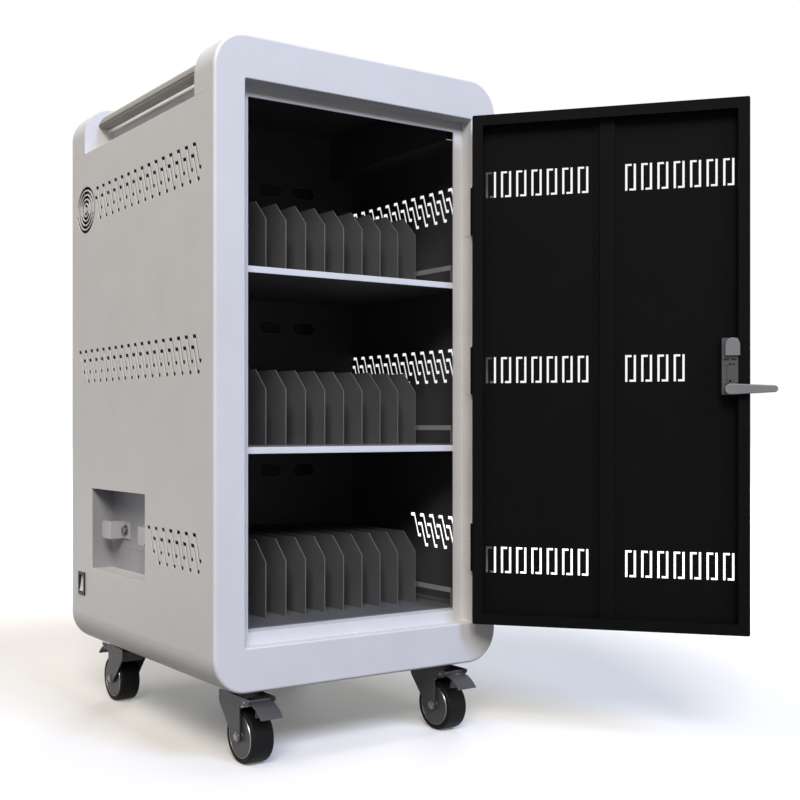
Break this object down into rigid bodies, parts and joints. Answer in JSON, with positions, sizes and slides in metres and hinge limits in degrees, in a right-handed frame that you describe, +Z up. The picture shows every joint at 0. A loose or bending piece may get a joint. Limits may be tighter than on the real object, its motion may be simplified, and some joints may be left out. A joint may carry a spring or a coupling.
{
  "type": "laptop charging cart",
  "caption": "Upright steel charging cart on braked swivel casters: divided laptop bays behind an inset vented front door, and a charger compartment behind a rear door.",
  "frame": {"origin": "on the floor under the middle of the cabinet", "axes": "+Z up, +Y from the front door towards the rear door, +X to the right seen from the front"},
  "size_m": [0.9435, 1.181, 1.324],
  "materials": {
    "grey_paint": "light grey powder coat, satin with a fine grain",
    "inner_paint": "dark grey powder coat, matt",
    "shelf_paint": "pale grey powder coat, satin",
    "black_paint": "black powder coat, fine grain",
    "grip_moulding": "warm grey moulding, matt",
    "polished_steel": "polished steel",
    "coated_steel": "grey coated pressed steel, satin",
    "cast_metal": "die-cast alloy in silver grey",
    "black_plastic": "black moulding, fine grain",
    "light_plastic": "off-white moulding, semi-gloss",
    "tread_rubber": "black rubber tread on a dark grey moulded hub"
  },
  "bodies": {
    "cabinet": {"front_frame": "grey_paint", "rear_frame": "grey_paint", "left_side_panel": "grey_paint", "right_side_panel": "grey_paint", "base_pan": "grey_paint", "top_panel": "grey_paint", "left_grip_bar": "grip_moulding", "right_grip_bar": "grip_moulding", "left_grip_rod": "polished_steel", "right_grip_rod": "polished_steel", "partition_panel": "inner_paint", "bay_floor": "shelf_paint", "lower_shelf": "shelf_paint", "upper_shelf": "shelf_paint", "lower_rack": "inner_paint", "middle_rack": "inner_paint", "upper_rack": "inner_paint", "power_strip_lower": "black_plastic", "power_strip_middle": "black_plastic", "power_strip_upper": "black_plastic", "cord_recess_box": "grey_paint", "cord_hook_front": "cast_metal", "cord_hook_rear": "cast_metal", "power_inlet": "black_plastic", "switch_bezel": "black_plastic", "fan_housing": "black_plastic", "hinge_frame_leaf_upper": "black_paint", "hinge_frame_leaf_middle": "black_paint", "hinge_frame_leaf_lower": "black_paint", "caster_plate_front_left": "coated_steel", "caster_plate_front_right": "coated_steel", "caster_plate_rear_left": "coated_steel", "caster_plate_rear_right": "coated_steel"},
    "front_door": {"door_panel": "black_paint", "door_stiffener": "black_paint", "hinge_door_leaf_upper": "black_paint", "hinge_door_leaf_middle": "black_paint", "hinge_door_leaf_lower": "black_paint", "lock_case": "coated_steel", "lock_cover": "cast_metal", "outer_escutcheon": "cast_metal"},
    "latch": {"latch_lever": "cast_metal", "outer_handle": "cast_metal"},
    "key": {"key_cylinder": "polished_steel"},
    "rear_door": {"rear_door": "grey_paint"},
    "rear_lock": {"rear_door_lock": "polished_steel"},
    "power_rocker": {"switch_rocker": "light_plastic"},
    "fan": {"fan_rotor": "black_plastic"},
    "fork_front_left": {"caster_fork_front_left": "coated_steel"},
    "fork_front_right": {"caster_fork_front_right": "coated_steel"},
    "fork_rear_left": {"caster_fork_rear_left": "coated_steel"},
    "fork_rear_right": {"caster_fork_rear_right": "coated_steel"},
    "wheel_front_left": {"caster_wheel_front_left": "tread_rubber"},
    "wheel_front_right": {"caster_wheel_front_right": "tread_rubber"},
    "wheel_rear_left": {"caster_wheel_rear_left": "tread_rubber"},
    "wheel_rear_right": {"caster_wheel_rear_right": "tread_rubber"},
    "pedal_front_left": {"brake_pedal_front_left": "coated_steel"},
    "pedal_front_right": {"brake_pedal_front_right": "coated_steel"},
    "pedal_rear_left": {"brake_pedal_rear_left": "coated_steel"},
    "pedal_rear_right": {"brake_pedal_rear_right": "coated_steel"}
  },
  "joints": [
    {"name": "front_door_swing", "type": "hinge", "parent": "cabinet", "child": "front_door", "pos_m": [0.262, -0.35, 0.7315], "axis": [0, 0, 1], "range_deg": [-132, 38]},
    {"name": "latch_turn", "type": "hinge", "parent": "front_door", "child": "latch", "pos_m": [0.5872, -0.71117, 0.6885], "axis": [0.7431, 0.6691, 0], "range_deg": [0, 90]},
    {"name": "key_turn", "type": "hinge", "parent": "front_door", "child": "key", "pos_m": [0.5872, -0.71117, 0.7645], "axis": [0.7431, 0.6691, 0], "range_deg": [0, 90]},
    {"name": "rear_door_swing", "type": "hinge", "parent": "cabinet", "child": "rear_door", "pos_m": [-0.262, 0.35, 0.7315], "axis": [0, 0, 1], "range_deg": [0, 120]},
    {"name": "rear_lock_turn", "type": "hinge", "parent": "rear_door", "child": "rear_lock", "pos_m": [0.214, 0.341, 0.7315], "axis": [0, -1, 0], "range_deg": [0, 90]},
    {"name": "power_rocker_tip", "type": "hinge", "parent": "cabinet", "child": "power_rocker", "pos_m": [-0.323, 0.278, 0.272], "axis": [0, -1, 0], "range_deg": [0, 14]},
    {"name": "fan_spin", "type": "hinge", "parent": "cabinet", "child": "fan", "pos_m": [-0.315, 0.257, 1.094], "axis": [1, 0, 0], "continuous": true},
    {"name": "swivel_front_left", "type": "hinge", "parent": "cabinet", "child": "fork_front_left", "pos_m": [-0.227, -0.261, 0.127], "axis": [0, 0, 1], "continuous": true},
    {"name": "swivel_front_right", "type": "hinge", "parent": "cabinet", "child": "fork_front_right", "pos_m": [0.227, -0.261, 0.127], "axis": [0, 0, 1], "continuous": true},
    {"name": "swivel_rear_left", "type": "hinge", "parent": "cabinet", "child": "fork_rear_left", "pos_m": [-0.227, 0.261, 0.127], "axis": [0, 0, 1], "continuous": true},
    {"name": "swivel_rear_right", "type": "hinge", "parent": "cabinet", "child": "fork_rear_right", "pos_m": [0.227, 0.261, 0.127], "axis": [0, 0, 1], "continuous": true},
    {"name": "roll_front_left", "type": "hinge", "parent": "fork_front_left", "child": "wheel_front_left", "pos_m": [-0.227, -0.293, 0.05], "axis": [1, 0, 0], "continuous": true},
    {"name": "roll_front_right", "type": "hinge", "parent": "fork_front_right", "child": "wheel_front_right", "pos_m": [0.227, -0.293, 0.05], "axis": [1, 0, 0], "continuous": true},
    {"name": "roll_rear_left", "type": "hinge", "parent": "fork_rear_left", "child": "wheel_rear_left", "pos_m": [-0.227, 0.293, 0.05], "axis": [1, 0, 0], "continuous": true},
    {"name": "roll_rear_right", "type": "hinge", "parent": "fork_rear_right", "child": "wheel_rear_right", "pos_m": [0.227, 0.293, 0.05], "axis": [1, 0, 0], "continuous": true},
    {"name": "brake_front_left", "type": "hinge", "parent": "fork_front_left", "child": "pedal_front_left", "pos_m": [-0.227, -0.323, 0.119], "axis": [1, 0, 0], "range_deg": [0, 6]},
    {"name": "brake_front_right", "type": "hinge", "parent": "fork_front_right", "child": "pedal_front_right", "pos_m": [0.227, -0.323, 0.119], "axis": [1, 0, 0], "range_deg": [0, 6]},
    {"name": "brake_rear_left", "type": "hinge", "parent": "fork_rear_left", "child": "pedal_rear_left", "pos_m": [-0.227, 0.323, 0.119], "axis": [-1, 0, 0], "range_deg": [0, 6]},
    {"name": "brake_rear_right", "type": "hinge", "parent": "fork_rear_right", "child": "pedal_rear_right", "pos_m": [0.227, 0.323, 0.119], "axis": [-1, 0, 0], "range_deg": [0, 6]}
  ]
}
